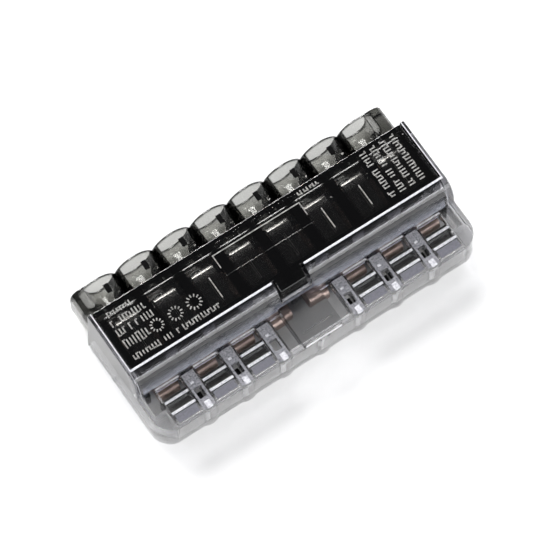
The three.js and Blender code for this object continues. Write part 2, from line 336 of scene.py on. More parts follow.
def object_axis(tree, axis):
    """X, Y or Z of the point that is shaded, in metres."""
    place = add(tree, "ShaderNodeTexCoord").outputs["Object"]
    return add(tree, "ShaderNodeSeparateXYZ", {"Vector": place}).outputs[axis]


def depth_tint(tree, stops):
    """Colour by place along the depth of the object: stops are (y in mm, hex colour)."""
    start, end = stops[0][0], stops[-1][0]
    share = add(tree, "ShaderNodeMapRange", {
        "Value": object_axis(tree, "Y"), "From Min": start * MM, "From Max": end * MM})
    return ramp(tree, share.outputs[0], [((y - start) / (end - start), colour) for y, colour in stops])


def within(tree, half_mm):
    """1 where the distance from the middle of the row is under half_mm, and 0 elsewhere."""
    off_middle = add(tree, "ShaderNodeMath", {0: object_axis(tree, "X")}, operation="ABSOLUTE").outputs[0]
    return add(tree, "ShaderNodeMath", {0: off_middle, 1: half_mm * MM}, operation="LESS_THAN").outputs[0]


GAP_SHADE_HALF, GAP_SHADE_FADE = 0.46, 0.1  # half the width of the painted shade between two barrels, and of its soft edge
LIP_SHADE = (-3.6, -2.3)  # depth of the lip's foot and of the place where its painted shade is full
CHEEK = 0.9  # how far in from the outside the cheeks reach


def barrel_gap_shade_share(tree):
    """1 on the painted shade between two barrels and 0 elsewhere, from the distance to the nearest bound between
    ways.
    """
    apart = add(tree, "ShaderNodeMath", {0: object_axis(tree, "X"), 1: pitch / 2 * MM}, operation="PINGPONG")
    near = add(tree, "ShaderNodeMapRange", {
        "Value": apart.outputs[0], "From Min": GAP_SHADE_HALF * MM, "From Max": (GAP_SHADE_HALF + GAP_SHADE_FADE) * MM,
        "To Min": 1.0, "To Max": 0.0})
    inside = within(tree, way_x[-1])
    return add(tree, "ShaderNodeMath", {0: near.outputs[0], 1: inside}, operation="MULTIPLY").outputs[0]


def lip_share(tree):
    """The share of painted shade on the lip: it rises from 0 at the lip's foot to 1 at its top, and is 0 on the
    cheeks.
    """
    rise = add(tree, "ShaderNodeMapRange", {
        "Value": object_axis(tree, "Y"), "From Min": LIP_SHADE[0] * MM, "From Max": LIP_SHADE[1] * MM})
    inside = within(tree, cover_high[0] - CHEEK)
    return add(tree, "ShaderNodeMath", {0: rise.outputs[0], 1: inside}, operation="MULTIPLY").outputs[0]


# %% [markdown]
# Polycarbonate: index about 1.585, polished in the tool, so it is smooth and bends light strongly. Pigment takes
# light away along its path, so a thin wall is pale and a wall seen edge on is dark. That is a volume absorption.
# The melt leaves a very slight waviness, a few millimetres across, which makes what is behind it swim, and
# handling leaves faint haze. Lamps shine through by a transparent stand-in for shadow rays, so that the metal
# inside is lit without waiting for caustics.

# %% Polycarbonate
WAVE_MM, HAZE_MM = 2.5, 0.35
MIX_A, MIX_B, MIXED = 6, 7, 2  # the Mix node's colour sockets, whose names its other kinds share


def polycarbonate(name, stops, lit_stops, share, shade, pigment, pigment_per_m, haze, wave_um):
    """stops tint the surface by depth, and lit_stops the light that lamps send through it. share is a function
    that gives where the shade colour takes the place of the tint."""
    material, tree = new_material(name)
    lit_tint = depth_tint(tree, lit_stops)
    tint = add(tree, "ShaderNodeMix", {
        0: share(tree), MIX_A: depth_tint(tree, stops), MIX_B: linear(shade)}, data_type="RGBA").outputs[MIXED]
    waves = grain(tree, WAVE_MM, (3, 1, 1), 2)
    bump = add(tree, "ShaderNodeBump", {
        "Height": waves.outputs["Fac"], "Distance": wave_um * 1e-6, "Strength": 1.0})
    dust = grain(tree, HAZE_MM)
    rough = add(tree, "ShaderNodeMapRange", {
        "Value": dust.outputs["Fac"], "From Min": 0.35, "From Max": 0.75,
        "To Min": haze, "To Max": haze * 2.5})
    plastic = add(tree, "ShaderNodeBsdfPrincipled", {
        "Base Color": tint, "Roughness": rough.outputs[0], "IOR": 1.585,
        "Transmission Weight": 1.0, "Normal": bump.outputs[0]})
    lit = add(tree, "ShaderNodeBsdfTransparent", {"Color": lit_tint})
    light_path = add(tree, "ShaderNodeLightPath")
    mix = add(tree, "ShaderNodeMixShader", {
        "Fac": light_path.outputs["Is Shadow Ray"], 1: plastic.outputs[0], 2: lit.outputs[0]})
    inside = add(tree, "ShaderNodeVolumeAbsorption", {"Color": linear(pigment), "Density": pigment_per_m})
    add(tree, "ShaderNodeOutputMaterial", {"Surface": mix.outputs[0], "Volume": inside.outputs[0]})
    return material


# %% [markdown]
# The smoked tint, from front to back: pale as painted light over the stops under the terrace, painted shade
# nearly black behind the lip, grey over the springs and clearer over their bends as painted light for their
# glints, painted shade black where the panel meets the barrels, pale along the barrels and painted shade dark
# again at their rims. The clear cover has hardly any tint but for a painted dark shade at the top of its lip.

# %% The two plastics
# Painted shade: the dark stops behind the lip, where the panel meets the barrels and at the barrels' rims.
# Painted light: the pale stops over the terrace's stops and the clearer band over the springs' bends.
smoked_tint_with_painted_shade = [(-6.6, "#F0F0F0"), (-5.9, "#B4B4B4"), (-3.7, "#A0A0A0"), (-3.35, "#343434"), (-1.7, "#343434"),
                (-0.9, "#868686"), (1.9, "#868686"), (2.25, "#D6D6D6"), (3.0, "#D6D6D6"), (3.3, "#A2A2A2"),
                (4.5, "#A2A2A2"), (4.85, "#2A2A2A"), (5.12, "#2A2A2A"), (5.3, "#DADAD8"), (8.1, "#DADAD8"),
                (8.25, "#4A4A48"), (8.4, "#4A4A48")]
smoked_lit = [(-6.6, "#F4F4F4"), (-3.6, "#D8D8D8"), (-3.0, "#CCCCCC"), (4.9, "#CCCCCC"), (5.3, "#F0F0EE")]
# The shade colour #0C0C0B is painted shade between the barrels.
smoked_plastic = polycarbonate("smoked_polycarbonate", smoked_tint_with_painted_shade, smoked_lit, barrel_gap_shade_share, "#0C0C0B",
                               "#BCBCBA", 900, haze=0.03, wave_um=12)
clear_stops = [(-9.0, "#EEEEEE"), (-4.0, "#EEEEEE"), (-3.6, "#E2E2E6"), (5.0, "#E2E2E6")]
clear_lit = [(-9.0, "#F1F1F1"), (5.0, "#F1F1F1")]
# The shade colour #0A0B10 is painted shade at the top of the lip.
clear_plastic = polycarbonate("clear_polycarbonate", clear_stops, clear_lit, lip_share, "#0A0B10",
                              "#DCDCDE", 320, haze=0.02, wave_um=6)
print(f"{smoked_plastic.name} and {clear_plastic.name}: index 1.585")

# %% [markdown]
# Ridges, webs, pads, keys and raised marks are the same plastic, made opaque with a pitted surface, and their
# colour is painted light and shade: painted highlights on the frames, bosses, beads, marks and ribs, painted grey
# for what shows through the webs and pads, and painted black shade on the keys. The apron behind the lip is
# frosted too, and goes from painted black shade at its top to a painted bluish sheen at its foot.

# %% Painted light and shade
PIT_MM = 0.16  # drawn coarser than the real pits, so that they show


def paint_light_and_shade(name, light, dark, roughness, stops=None):
    """Mottled between two colours. Where stops are given, those two shade a tint by depth."""
    material, tree = new_material(name)
    pits = grain(tree, PIT_MM, detail=5)
    colour = ramp(tree, pits.outputs["Fac"], [(0.3, dark), (0.62, light)])
    if stops:
        colour = add(tree, "ShaderNodeMix", {0: 1.0, MIX_A: depth_tint(tree, stops), MIX_B: colour},
                     data_type="RGBA", blend_type="MULTIPLY").outputs[MIXED]
    bump = add(tree, "ShaderNodeBump", {"Height": pits.outputs["Fac"], "Distance": 12e-6, "Strength": 0.7})
    surface = add(tree, "ShaderNodeBsdfPrincipled", {
        "Base Color": colour, "Roughness": roughness, "IOR": 1.585, "Normal": bump.outputs[0]})
    add(tree, "ShaderNodeOutputMaterial", {"Surface": surface.outputs[0]})
    return material


# Painted highlight: nearly white and matt on the frames, bosses and beads, against the clear walls.
painted_highlight_ridge = paint_light_and_shade("painted_highlight_clear_ridge", "#E4E4E8", "#A4A4AE", 0.3)
# Painted light and shade: mottled grey for what shows through the clear webs, the dark metal close under them.
web_light_and_shade = paint_light_and_shade("matt_clear_web_painted_light_and_shade", "#A2A2A8", "#4C4C52", 0.3)
# Painted shade: an even grey for what shows through the low clear steps.
pad_painted_shade = paint_light_and_shade("matt_clear_pad_in_painted_shade", "#7A7A82", "#5A5A62", 0.3)
# Painted shade: black, and polished so that it keeps one sharp glint.
black_painted_shade = paint_light_and_shade("polished_black_for_painted_shade", "#0C0C0B", "#060606", 0.12)
# Frosted: soft, and paler towards its foot, where it is thin.
# Frosted, with painted black shade at its top, behind the lip, and a painted bluish sheen towards its foot.
apron_shade_and_sheen_stops = [(-3.0, "#B4BAC8"), (-2.75, "#8C92A2"), (-2.4, "#14151A"), (-1.9, "#08080A")]
apron_painted_shade_and_sheen = paint_light_and_shade("frosted_apron_with_painted_shade_and_sheen", "#FFFFFF", "#C8C8C8", 0.35, apron_shade_and_sheen_stops)
# Painted highlight: grey strokes for the light that the raised marks, the label's beads and the ribs under the
# panel catch on the dark panel.
painted_highlight_mark = paint_light_and_shade("matt_smoked_mark_painted_highlight", "#A8A7A4", "#3C3B39", 0.4)
print("six surface finishes on the mouldings")

# %% [markdown]
# A piece gets these finishes face by face. A face is found by where its centre is, so the test for each finish
# is written with the sizes that shaped those faces.

# %% Finish by place


def way_of(x):
    """The middle of the way nearest to each x."""
    return way_x[np.abs(np.asarray(x)[:, None] - way_x).argmin(axis=1)]


def off_way(x):
    """How far each x is from the middle of its way."""
    return np.abs(x - way_of(x))


def mark_faces(piece, material, chosen):
    """Gives one more material to the faces whose centres, in millimetres, pass the test."""
    count = len(piece.data.polygons)
    centre, slots = np.empty(count * 3), np.empty(count, np.int32)
    piece.data.polygons.foreach_get("center", centre)
    piece.data.polygons.foreach_get("material_index", slots)
    x, y, z = centre.reshape(-1, 3).T / MM
    found = chosen(x, y, z)
    slots[found] = len(piece.data.materials)
    piece.data.materials.append(material)
    piece.data.polygons.foreach_set("material_index", slots)
    print(f"{piece.name}: {found.sum()} faces in {material.name}")


# %% [markdown]
# Rolled strip: copper for the bar, stainless for the springs. Rolling leaves fine streaks in one direction,
# a few hundredths of a millimetre apart. They are drawn a little coarser here so that they show. Copper also
# dulls unevenly to brown.

# %% Rolled metals
STREAK_MM, PATCH_MM = 0.06, 0.9


def rolled_strip(name, bright, dull, roughness, stretch):
    """Metal that wanders between two colours in patches, with streaks stretched along the rolling direction."""
    material, tree = new_material(name)
    streaks = grain(tree, STREAK_MM, stretch, 2)
    patches = grain(tree, PATCH_MM)
    rough = add(tree, "ShaderNodeMapRange", {
        "Value": streaks.outputs["Fac"], "To Min": roughness * 0.7, "To Max": roughness * 1.4})
    bump = add(tree, "ShaderNodeBump", {
        "Height": streaks.outputs["Fac"], "Distance": 4e-6, "Strength": 0.6})
    metal = add(tree, "ShaderNodeBsdfPrincipled", {
        "Base Color": ramp(tree, patches.outputs["Fac"], [(0, bright), (1, dull)]), "Metallic": 1.0,
        "Roughness": rough.outputs[0], "Normal": bump.outputs[0]})
    add(tree, "ShaderNodeOutputMaterial", {"Surface": metal.outputs[0]})
    return material


# Thinly tinned copper: satin, pinkish grey, with duller patches.
copper = rolled_strip("tinned_copper", "#C9B7B0", "#8C7870", 0.3, (12, 1, 1))
# Bright-rolled stainless: almost a mirror, so it is white or black by what it reflects.
spring_steel = rolled_strip("bright_spring_steel", "#E2DFDC", "#BDBAB6", 0.17, (1, 12, 12))
print(f"metals: {copper.name}, {spring_steel.name}")

# %% [markdown]
# ## The smoked entry housing
# One moulding: a row of barrels that guide the conductors in, the flat panel over the springs, the wall
# between them, and the partitions that keep the ways apart. A cylinder would do for the outside of a barrel, but
# the way inside it is a funnel, so both are profiles turned about the same line.

# %% Barrels
BARREL_SHARE = 0.786  # of the room between the last way and the end of the row
BARREL_R = (housing_high[0] - way_x[-1]) * BARREL_SHARE
barrel_z, barrel_top, barrel_back = BARREL_R, 2 * BARREL_R, housing_high[1]
BARREL_FRONT = cover_high[1] + 0.12
MOUTH_R, THROAT_R = 1.88, 1.15
MOUTH_DEPTH, FUNNEL_DEPTH, THROAT_FRONT = 1.6, 1.5, 3.7
RIM = 0.16
PAST = 0.5  # how far a cutting shape runs past what it cuts
print(f"barrels: radius {BARREL_R:.2f} mm, {barrel_back - BARREL_FRONT:.2f} mm long")


def barrel(x):
    """A cylinder whose rear rim is a quarter circle of radius RIM."""
    turn = np.linspace(0, np.pi / 2, ARC)
    radius, y = BARREL_R - RIM + RIM * np.cos(turn), barrel_back - RIM + RIM * np.sin(turn)
    return turned([(BARREL_R, BARREL_FRONT), *zip(radius, y)], x, barrel_z)


def wire_way(x):
    """What a conductor passes through: throat, a funnel whose radius follows 3t^2 - 2t^3, straight mouth, and a
    flare that is a quarter circle of radius RIM."""
    t = np.linspace(0, 1, 9)
    funnel_r = MOUTH_R + (THROAT_R - MOUTH_R) * (3 * t**2 - 2 * t**3)
    funnel_y = barrel_back - MOUTH_DEPTH - FUNNEL_DEPTH * t
    flare = np.linspace(0, np.pi / 2, ARC)
    flare_r = MOUTH_R + RIM * (1 - np.cos(flare))
    flare_y = barrel_back - RIM + RIM * np.sin(flare)
    profile = [(THROAT_R, THROAT_FRONT), *zip(funnel_r[::-1], funnel_y[::-1]), *zip(flare_r, flare_y),
               (MOUTH_R + RIM, barrel_back + PAST)]
    return turned(profile, x, barrel_z)


# %% [markdown]
# The panel and its rear wall are one flat L, carried along the row. A partition stands beside each way, and its
# foot runs forward under the terrace of the cover. The two outermost barrels have upright outer sides, so that
# the row ends square.

# %% Panel, partitions and row ends
panel_top = housing_high[2] - 0.15
PANEL_FLOOR, PANEL_HALF = 6.05, 17.25
lip_top_y = -1.92
panel_front, panel_back = lip_top_y + 0.06, 4.73
WALL_FRONT, WALL = 4.0, 0.6
wall_top = barrel_top - 0.4
BEAM_TOP, BEAM_BACK = bar_high[2], -4.8
print(f"panel: {2 * PANEL_HALF:.2f} mm long, {panel_back - panel_front:.2f} mm deep, top at {panel_top:.2f} mm")


def panel_side():
    """Corners of the panel with its rear wall, seen from the side, and how soft each one is."""
    corners = [(panel_front, PANEL_FLOOR), (WALL_FRONT, PANEL_FLOOR), (WALL_FRONT, wall_top),
               (panel_back, wall_top), (panel_back, panel_top), (panel_front, panel_top)]
    return corners, [0.12, 0.3, 0.12, 0.12, 0.1, 0.12]


def partition(x0, x1, foot, reach):
    """A wall beside a way, whose front edge leans back and whose foot runs forward as far as reach."""
    side = [(WALL_FRONT + 0.1, foot), (WALL_FRONT + 0.1, PANEL_FLOOR + 0.1),
            (panel_front + 0.3, PANEL_FLOOR + 0.1), (-2.85, 3.2), (-2.95, BEAM_TOP),
            (reach, BEAM_TOP), (reach, foot)]
    return carried(side, 0.1, x0, x1, 0.05)


def row_end(side):
    """The upright outer side of the row: a rounded outline in (z, x), carried front to back."""
    inner, outer = side * way_x[-1], side * housing_high[0]
    outline = [(0, inner), (0, outer), (barrel_top, outer), (barrel_top, inner)]
    return carried(outline, [0.2, 1.3, 1.3, 0.2], BARREL_FRONT, barrel_back - 0.02, RIM, axes=(2, 0, 1))


# %% [markdown]
# Now the shapes become one solid. Neighbouring barrels touch, so every second one is joined first. The first and
# the last partition close the row, and reach lower and further forward than the others.

# %% Join the housing
WALL_HALF, FOOT, END_OUTER = 16.98, 0.95, 17.05
half = WALL / 2
housing = raw_object("housing", carried(*panel_side(), -PANEL_HALF, PANEL_HALF, 0.12))
join(housing,
     row_of([0], (-WALL_HALF, WALL_HALF), (WALL_FRONT, BARREL_FRONT + 0.4), (FOOT, barrel_top - 0.35), 0.05),
     [barrel(x) for x in way_x[::2]],
     [barrel(x) for x in way_x[1::2]],
     [row_end(-1), row_end(1)],
     [partition(x - half, x + half, 1.65, -3.3) for x in bound_x]
     + [partition(x0, x0 + WALL, FOOT, -3.8) for x0 in (-END_OUTER, END_OUTER - WALL)])
print(f"barrels, panel and partitions: {len(housing.data.polygons)} faces")

# %% [markdown]
# Under the terrace are the stops that a conductor can't pass: a block under the front of each test window, tied
# together by thin runners. They show through the windows as grey steps. Then the wire ways are cut.

# %% Stops under the terrace
window_x = way_x[np.abs(way_x) > pitch]  # the ways under the catch block have no test window
pocket_x = bound_x[np.abs(bound_x) > pitch / 2]
STOP_HALF, RUNNER_HALF, RUNNER_TOP, RUNNER_END = 1.45, 0.15, 1.3, 15.9
runner = (-RUNNER_HALF, RUNNER_HALF)
join(housing,
     row_of([0], (-RUNNER_END, -pitch), (-6.2, -5.4), (FOOT, RUNNER_TOP), 0.05)
     + row_of([0], (pitch, RUNNER_END), (-6.2, -5.4), (FOOT, RUNNER_TOP), 0.05),
     row_of(window_x, (-STOP_HALF, STOP_HALF), (-6.5, BEAM_BACK), (FOOT, BEAM_TOP), 0.1),
     row_of(pocket_x, runner, (-5.6, -2.9), (FOOT, RUNNER_TOP), 0.05),
     row_of(pocket_x, runner, (-3.25, -3.0), (1.0, 1.8), 0.05))
combine(housing, "DIFFERENCE", [wire_way(x) for x in way_x])
print(f"{len(window_x)} stops, {len(way_x)} wire ways")

# %% [markdown]
# The middle of the panel has a raised label field with a fine bead along its back edge and at its two ends. The
# tongue in front of it snaps into the cover. The apron is a dark sheet behind the cover's lip, put there as
# painted shade for the lip, and a fine rib hangs under the panel over each way.

# %% Label field, tongue, apron and ribs
LABEL_HALF, LABEL_Y = 4.9, (0.92, 3.34)
label_top, label_end = housing_high[2], LABEL_HALF - 0.06
TONGUE_HALF, APRON_HALF, RIB_HALF, RIB_DROP = 1.45, 17.0, 0.08, 0.35
TONGUE = [(-1.7, 6.2), (-1.7, panel_top), (-2.1, panel_top), (-3.1, 6.5), (-3.35, 5.1), (-3.0, 5.1)]
APRON = [(-1.9, 6.0), (-1.75, 6.2), (-1.3, 6.2), (-1.35, 5.9), (-2.55, 3.35), (-2.95, 3.35)]
label = (-LABEL_HALF, LABEL_HALF)
join(housing,
     row_of([0], label, LABEL_Y, (panel_top - 0.3, label_top), 0.07),
     row_of([0], label, (LABEL_Y[1] - 0.12, LABEL_Y[1] - 0.01), (label_top - 0.1, label_top + 0.03), 0.03),
     row_of((-label_end, label_end), (-0.05, 0.05), (LABEL_Y[0] + 0.9, LABEL_Y[1] - 0.05),
            (label_top - 0.1, label_top + 0.025), 0.03),
     [carried(TONGUE, 0.08, -TONGUE_HALF, TONGUE_HALF, 0.08)],
     [carried(APRON, 0.08, -APRON_HALF, APRON_HALF, 0.08)],
     row_of(way_x, (-RIB_HALF, RIB_HALF), (-0.8, 1.7), (PANEL_FLOOR - RIB_DROP, PANEL_FLOOR + 0.1), 0.04))
print(f"label field {2 * LABEL_HALF:.1f} x {LABEL_Y[1] - LABEL_Y[0]:.2f} mm")

# %% [markdown]
# Raised strokes near both ends of the panel stand in for the lines of small print that such a housing carries.
# They say nothing. A fixed seed sets their lengths. Beside them are a moulder's date dials: rings of ticks. They
# are real geometry, raised from the panel, because a bump wouldn't show in the outline or in the mesh.

# %% Raised marks
RISE, STROKE, NEXT = 0.08, 0.13, 0.34
SKIPPED = 0.12  # share of the strokes left out, as the gaps between words are
shuffle = np.random.default_rng(8)


def mark(x0, x1, y0, y1):
    """A low block on the panel."""
    return block((x0, y0, panel_top - 0.1), (x1, y1, panel_top + RISE), 0.03)


def mark_row(start, end, centre, tall, along_row=True):
    """Short strokes side by side, with gaps like those between words; some have a foot across their end."""
    strokes = []
    for place in np.arange(start, end, NEXT):
        reach, foot, skip = tall / 2 * shuffle.uniform(0.6, 1.0), shuffle.choice([-1, 0, 1]), shuffle.random()
        if skip < SKIPPED:
            continue
        parts = [(place, place + STROKE, centre - reach, centre + reach)]
        if foot:
            middle = centre + foot * (reach - STROKE / 2)
            parts.append((place + STROKE + 0.03, place + NEXT - 0.05, middle - STROKE / 2, middle + STROKE / 2))
        strokes += [mark(*p) if along_row else mark(p[2], p[3], p[0], p[1]) for p in parts]
    return strokes


def date_dial(x, y, radius, count=12):
    """Ticks in a ring, each a small block turned to point at the centre."""
    ticks = []
    for angle in np.arange(count) * 2 * np.pi / count:
        points, faces = mark(radius * 0.62, radius, -STROKE / 2, STROKE / 2)
        c, d = np.cos(angle), np.sin(angle)
        turned_points = points @ np.array([[c, d, 0], [-d, c, 0], [0, 0, 1]]) + [x, y, 0]
        ticks.append((turned_points, faces))
    return ticks


# %% [markdown]
# Each row is given by where it starts and ends, the middle of its strokes and how tall they are. On the left the
# rows run along the connector, and on the right across it. Fine centre lines mark some of the ways.

# %% Place the marks
LINE_HALF, LINE_Y = 0.05, (-0.65, 1.7)
left_rows = [(-16.4, -7.0, -1.1, 0.7), (-16.4, -14.0, 0.45, 1.15), (-16.4, -12.4, 1.75, 0.8),
             (-16.4, -12.8, 2.8, 0.8), (-16.2, -13.2, 3.75, 0.6)]
dials = [(-8.75, 0.45, 0.8), (-10.8, 0.45, 0.75), (-12.85, 0.45, 0.7)]
lined_x = [x for x in way_x if LABEL_HALF < x < 12 or -9.5 < x < -LABEL_HALF]
marks = [mark_row(*row) for row in left_rows] + [date_dial(*dial) for dial in dials]
marks.append([mark(x - LINE_HALF, x + LINE_HALF, *LINE_Y) for x in lined_x])
marks.append(mark_row(-4.3, 7.6, 4.08, 0.5))
marks += [mark_row(-1.1, 4.1, x, 0.75, along_row=False) for x in (12.6, 13.7, 14.8, 15.9)]
join(housing, sum(marks, []))
print(f"{len(sum(marks, []))} raised marks")

# %% [markdown]
# All the barrels but the last have a small key on top, off their middle, painted black as shade, and every one
# has a low nib in front of it.

# %% Keys and nibs
KEY_X, KEY_Y, KEY_TOP = (0.22, 0.76), (barrel_back - 1.95, barrel_back - 0.95), barrel_top + 0.02
NIB_X, NIB_Y, NIB_TOP = (-0.2, 0.15), (BARREL_FRONT + 0.25, BARREL_FRONT + 0.55), barrel_top + 0.03
join(housing,
     row_of(way_x[:-1], KEY_X, KEY_Y, (barrel_top - 0.4, KEY_TOP), 0.05),
     row_of(way_x, NIB_X, NIB_Y, (4.0, NIB_TOP), 0.05))
print(f"{len(way_x) - 1} keys, {len(way_x)} nibs")

# %% [markdown]
# Last the finishes: keys painted black as shade, the apron's painted shade and sheen, and painted highlights on
# the marks and ribs. The piece stands for the CAD node and rides on the housing's body.

# %% Finish the housing
entry_housing = finished(housing, "smoked_housing", smoked_plastic)


def on_key(x, y, z):
    """In a key's outline and above the round of the barrel."""
    side = x - way_of(x)
    barrel_surface = barrel_z + np.sqrt(np.maximum(BARREL_R**2 - side**2, 0))
    return ((side > KEY_X[0] - 0.01) & (side < KEY_X[1] + 0.01) & (y > KEY_Y[0] - 0.01) & (y < KEY_Y[1] + 0.01)
            & (z > barrel_surface + 0.003))


def on_apron(x, y, z):
    """Near the plane of the apron's front, and at its lower edge a little further from it."""
    off_plane = np.abs(y + 1.9 + (6.0 - z) * 0.4)
    over_tongue = (np.abs(x) < 1.5) & (z > 5.0)
    return ((z > 3.3) & (z < 6.15) & (np.abs(x) < APRON_HALF + 0.05) & (off_plane < 0.07 + 0.3 * (z < 3.45))
            & ~over_tongue)


def on_mark(x, y, z):
    """Above the panel outside the label, on the label's beads, or on a rib under the panel."""
    on_panel = (z > panel_top + 0.03) & (np.abs(x) > LABEL_HALF + 0.3)
    on_label_bead = z > label_top + 0.008
    on_rib = ((z > PANEL_FLOOR - RIB_DROP - 0.05) & (z < PANEL_FLOOR - 0.02) & (off_way(x) < RIB_HALF + 0.02)
              & (np.abs(y - 0.45) < 1.3))
    return on_panel | on_label_bead | on_rib


mark_faces(entry_housing, black_painted_shade, on_key)
mark_faces(entry_housing, apron_painted_shade_and_sheen, on_apron)
mark_faces(entry_housing, painted_highlight_mark, on_mark)
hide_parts("entry_housing")
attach(entry_housing, "housing")

# %% [markdown]
# ## The clear end cover
# One moulding: a tray with two cheeks that flank the panel, a lip that rolls down from the panel's front edge,
# and the terrace with a test window over each way. Its outside is a side view that swells from a line in the
# middle of one cheek, runs along the row and closes again on the other cheek, so that the cheeks can lean
# inwards and the front corners can be round in plan.

# %% Side view and cheeks
LIP_FOOT_Y, TERRACE = -3.72, 3.8
FRONT = cover_low[1] + 0.175
CORNER, LEAN = 2.1, 0.3  # radius of the front corners in plan, and how far the cheeks lean in over their height
SOFT, EDGE = 0.2, 0.12
SWELL_FROM, SWELL = np.array([-2.5, 3.0]), np.linspace(0.02, 0.94, 12)


def cheek_x(y, z):
    """Half width of the cover: it leans in with height, and rounds off in plan towards the front corners by
    CORNER (1 - sqrt(1 - s^2)), where s rises to nearly 1 at the front."""
    short = np.clip((FRONT + CORNER - y) / CORNER, 0, 1)
    return cover_high[0] - LEAN * z / cover_high[2] - CORNER * (1 - np.sqrt(1 - (short * 0.985) ** 2))


def level(start, end, count, z):
    """Evenly spaced points of a straight side at height z, without its two ends."""
    y = np.linspace(start, end, count)[1:-1]
    return np.stack([y, np.full_like(y, z)], axis=1)


def side_view():
    """The outline from the side. Its lip is a parabola, (1-t)^2 A + 2t(1-t) P + t^2 B, and its straight sides
    have points enough to follow the front corners."""
    rear, top = cover_high[1], cover_high[2]
    a, p, b = np.array([(lip_top_y - 0.28, top), (LIP_FOOT_Y + 0.05, top - 0.15), (LIP_FOOT_Y, TERRACE)])
    t = np.linspace(0, 1, 10)[:, None]
    lip = (1 - t) ** 2 * a + 2 * t * (1 - t) * p + t**2 * b
    corner = soften([(FRONT, 0), (rear, 0), (rear, top), (0, top), (FRONT, TERRACE)], SOFT).reshape(5, ARC, 2)
    brow = soften([(FRONT, 0), (LIP_FOOT_Y, TERRACE), (FRONT, TERRACE)], SOFT).reshape(3, ARC, 2)[2]
    foot, rim = level(FRONT, rear, 26, 0), level(rear, lip_top_y - 0.3, 8, top)
    terrace = level(LIP_FOOT_Y, FRONT, 14, TERRACE)
    return np.concatenate([corner[0], foot, corner[1], corner[2], rim, lip, terrace, brow])


def cover_outside():
    """The side view, swelled by SWELL from a point in one cheek and softened by a quarter circle of radius EDGE,
    at x = cheek_x(y, z); then the same in reverse at -x."""
    loop, turn = side_view(), np.linspace(0, np.pi / 2, ARC)
    rows = np.array([SWELL_FROM + (loop - SWELL_FROM) * k for k in SWELL]
                    + [inset(loop, EDGE * (1 - np.sin(a))) for a in turn])
    drawn_in = np.concatenate([0 * SWELL, EDGE * (1 - np.cos(turn))])[:, None]
    side = np.dstack([cheek_x(rows[..., 0], rows[..., 1]) - drawn_in, rows])
    return closed(np.concatenate([side, side[::-1] * [-1, 1, 1]]))


# %% [markdown]
# Between two ways the front wall swells a little, as a column that is mostly inside the wall. The tray is then
# hollowed. It takes two cuts, because at the round front corners there is less room across than behind them.

# %% Join and hollow the cover
BULGE_R, BULGE_EDGE = 1.6, 0.12
TRAY_FLOOR, ROOF, OUT = 0.65, 3.2, 20  # OUT is well past the cover
FRONT_HALF, INNER_HALF = 16.2, 17.35


def bulge(x):
    """An upright column between two ways, softened at its top and foot."""
    profile = [(BULGE_R - BULGE_EDGE, 0.0), (BULGE_R, 0.1), (BULGE_R, TERRACE - BULGE_EDGE),
               (BULGE_R - BULGE_EDGE, TERRACE)]
    return turned(profile, x, cover_low[1] + BULGE_R, axes=(0, 1, 2))


def hollow(start, half_width):
    """The inside of the tray from start backwards: under the terrace, then open to the top behind the lip."""
    side = [(start, TRAY_FLOOR), (OUT, TRAY_FLOOR), (OUT, OUT), (lip_top_y, OUT), (lip_top_y, PANEL_FLOOR),
            (-3.2, ROOF), (start, ROOF)]
    return carried(side, 0.12, -half_width, half_width, 0.12)


cover = raw_object("cover", cover_outside())
join(cover, [bulge(x) for x in bound_x])
combine(cover, "DIFFERENCE", [hollow(FRONT + WALL, FRONT_HALF)])
combine(cover, "DIFFERENCE", [hollow(FRONT + CORNER + 0.2, INNER_HALF)])
print(f"cover: {len(cover.data.polygons)} faces, terrace at {TERRACE} mm, floor {TRAY_FLOOR} mm thick")

# %% [markdown]
# The terrace. Each way has a test window, a smaller hole in front of it and a raised frame like a short ladder
# round both. Between two ways is a pocket. In the middle the catch block takes the place of two windows, and
# above it a notch in the lip lets the smoked tongue snap in.

# %% Shapes on the terrace
WINDOW_HALF, RUNG, RAIL, RAIL_RISE = 1.25, 0.12, 0.08, 0.14
RUNGS = (-3.9, -5.48, -6.7, FRONT + 0.2)
CATCH_HALF, CATCH_TOP, SLOT_OUTER = 2.2, 4.5, 3.36
WEB_RISE, PAD_RISE, BOSS_RISE = 0.05, 0.03, 0.12
FRAME_HALF = WINDOW_HALF + RAIL + 0.02


def hole(x0, x1, y0, y1):
    """What is cut to open the terrace."""
    return block((x0, y0, 2.9), (x1, y1, TERRACE + 0.6), 0.08)


def rung(x0, x1, y):
    """A cross bar of a window's frame."""
    return block((x0, y - RUNG, TERRACE - 0.2), (x1, y + RUNG, TERRACE + RAIL_RISE), 0.07)


def rail(x, y0=FRONT + 0.1, y1=RUNGS[0] + 0.06):
    """A side of a window's frame, just lower than the rungs so that their tops don't share a plane."""
    return block((x - RAIL, y0, TERRACE - 0.25), (x + RAIL, y1, TERRACE + RAIL_RISE - 0.01), 0.07)


def pad(x0, x1, y0, y1, rise):
    """A low step on the terrace."""
    return block((x0, y0, TERRACE - 0.15), (x1, y1, TERRACE + rise), 0.03)


def bead(xa, xb, y0, y1):
    """A fine bead on the top rim of the lip or of a cheek."""
    return block((min(xa, xb), y0, cover_high[2] - 0.2), (max(xa, xb), y1, cover_high[2] + 0.04), 0.05)


# %% [markdown]
# First all that stands up is joined: webs between the ways with a boss at either end, pads, frames, a rib behind
# the front wall under each web, the catch block, and the beads.

